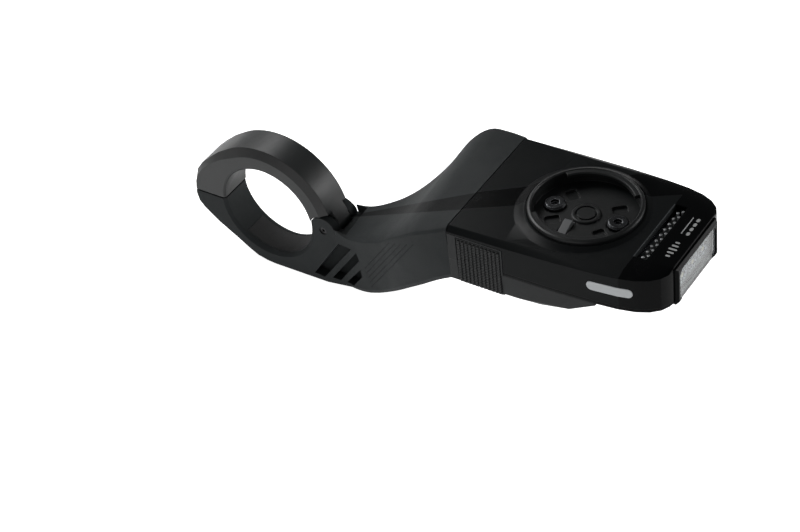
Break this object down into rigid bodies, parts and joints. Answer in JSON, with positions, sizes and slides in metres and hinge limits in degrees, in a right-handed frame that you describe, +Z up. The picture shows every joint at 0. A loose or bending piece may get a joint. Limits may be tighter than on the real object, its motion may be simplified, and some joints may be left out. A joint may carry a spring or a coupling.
{
  "type": "out-front computer mount with front light",
  "caption": "Out-front handlebar mount: hinged clamp, flared arm, and a front light whose top carries a quarter-turn socket for a cycling computer.",
  "frame": {"origin": "centre of the handlebar clamp's bore", "axes": "+X forwards, the way the light shines; +Y along the handlebar, to the rider's left; +Z up"},
  "size_m": [0.1718, 0.0468, 0.0592],
  "materials": {
    "arm_plastic": "satin",
    "strap_plastic": "satin",
    "pin_steel": "satin",
    "bolt_black": "satin",
    "insert_brass": "satin",
    "pad_rubber": "matte",
    "housing_gloss": "gloss",
    "shell_plastic": "satin",
    "screw_steel": "satin",
    "ring_plastic": "satin",
    "sink_aluminium": "satin",
    "lens_clear": "clear",
    "optic_clear": "clear",
    "led_phosphor": "gloss",
    "board_green": "satin",
    "cell_foil": "satin",
    "diffuser_white": "satin"
  },
  "bodies": {
    "mount": {"mount_arm": "arm_plastic", "hinge_pin": "pin_steel", "grip_pad_lower": "pad_rubber", "top_housing": "housing_gloss", "lower_shell": "shell_plastic", "housing_screws": "screw_steel", "release_spring_right": "screw_steel", "release_spring_left": "screw_steel", "socket_ring": "ring_plastic", "socket_screws": "bolt_black", "heat_sink": "sink_aluminium", "lens_bezel": "housing_gloss", "front_lens": "lens_clear", "lens_seal": "pad_rubber", "led_optics": "optic_clear", "led_chips": "led_phosphor", "led_board": "board_green", "main_board": "board_green", "battery_cell": "cell_foil", "side_window_right": "diffuser_white", "side_window_left": "diffuser_white", "side_leds": "board_green", "charge_port": "screw_steel", "port_hinge_pin": "pin_steel", "power_switch": "screw_steel"},
    "strap": {"clamp_strap": "strap_plastic", "strap_insert": "insert_brass", "grip_pad_upper": "pad_rubber"},
    "bolt": {"clamp_bolt": "bolt_black"},
    "button_right": {"release_button_right": "shell_plastic"},
    "button_left": {"release_button_left": "shell_plastic"},
    "port_flap": {"port_cover": "pad_rubber"},
    "power_key": {"power_button": "pad_rubber"},
    "detent": {"detent_tongue": "screw_steel"}
  },
  "joints": [
    {"name": "strap_hinge", "type": "hinge", "parent": "mount", "child": "strap", "pos_m": [0.0207, 0, 0.0002], "axis": [0, 1, 0], "range_deg": [0, 55]},
    {"name": "bolt_turn", "type": "hinge", "parent": "mount", "child": "bolt", "pos_m": [-0.0215, 0, 0], "axis": [0, 0, 1], "continuous": true},
    {"name": "button_right_press", "type": "slide", "parent": "mount", "child": "button_right", "axis": [0, 1, 0], "range_m": [0, 0.0016], "stiffness_N_per_m": 900, "springref_m": -0.001, "deforming": ["release_spring_right"]},
    {"name": "button_left_press", "type": "slide", "parent": "mount", "child": "button_left", "axis": [0, -1, 0], "range_m": [0, 0.0016], "stiffness_N_per_m": 900, "springref_m": -0.001, "deforming": ["release_spring_left"]},
    {"name": "port_flap_hinge", "type": "hinge", "parent": "mount", "child": "port_flap", "pos_m": [0.0964, 0, 0.0161], "axis": [0, 1, 0], "range_deg": [0, 85]},
    {"name": "power_key_press", "type": "slide", "parent": "mount", "child": "power_key", "axis": [0, 0, 1], "range_m": [0, 0.0005], "stiffness_N_per_m": 1500, "springref_m": -0.0005},
    {"name": "detent_dip", "type": "slide", "parent": "mount", "child": "detent", "axis": [0, 0, -1], "range_m": [0, 0.0003], "stiffness_N_per_m": 2500, "springref_m": -0.0004}
  ]
}
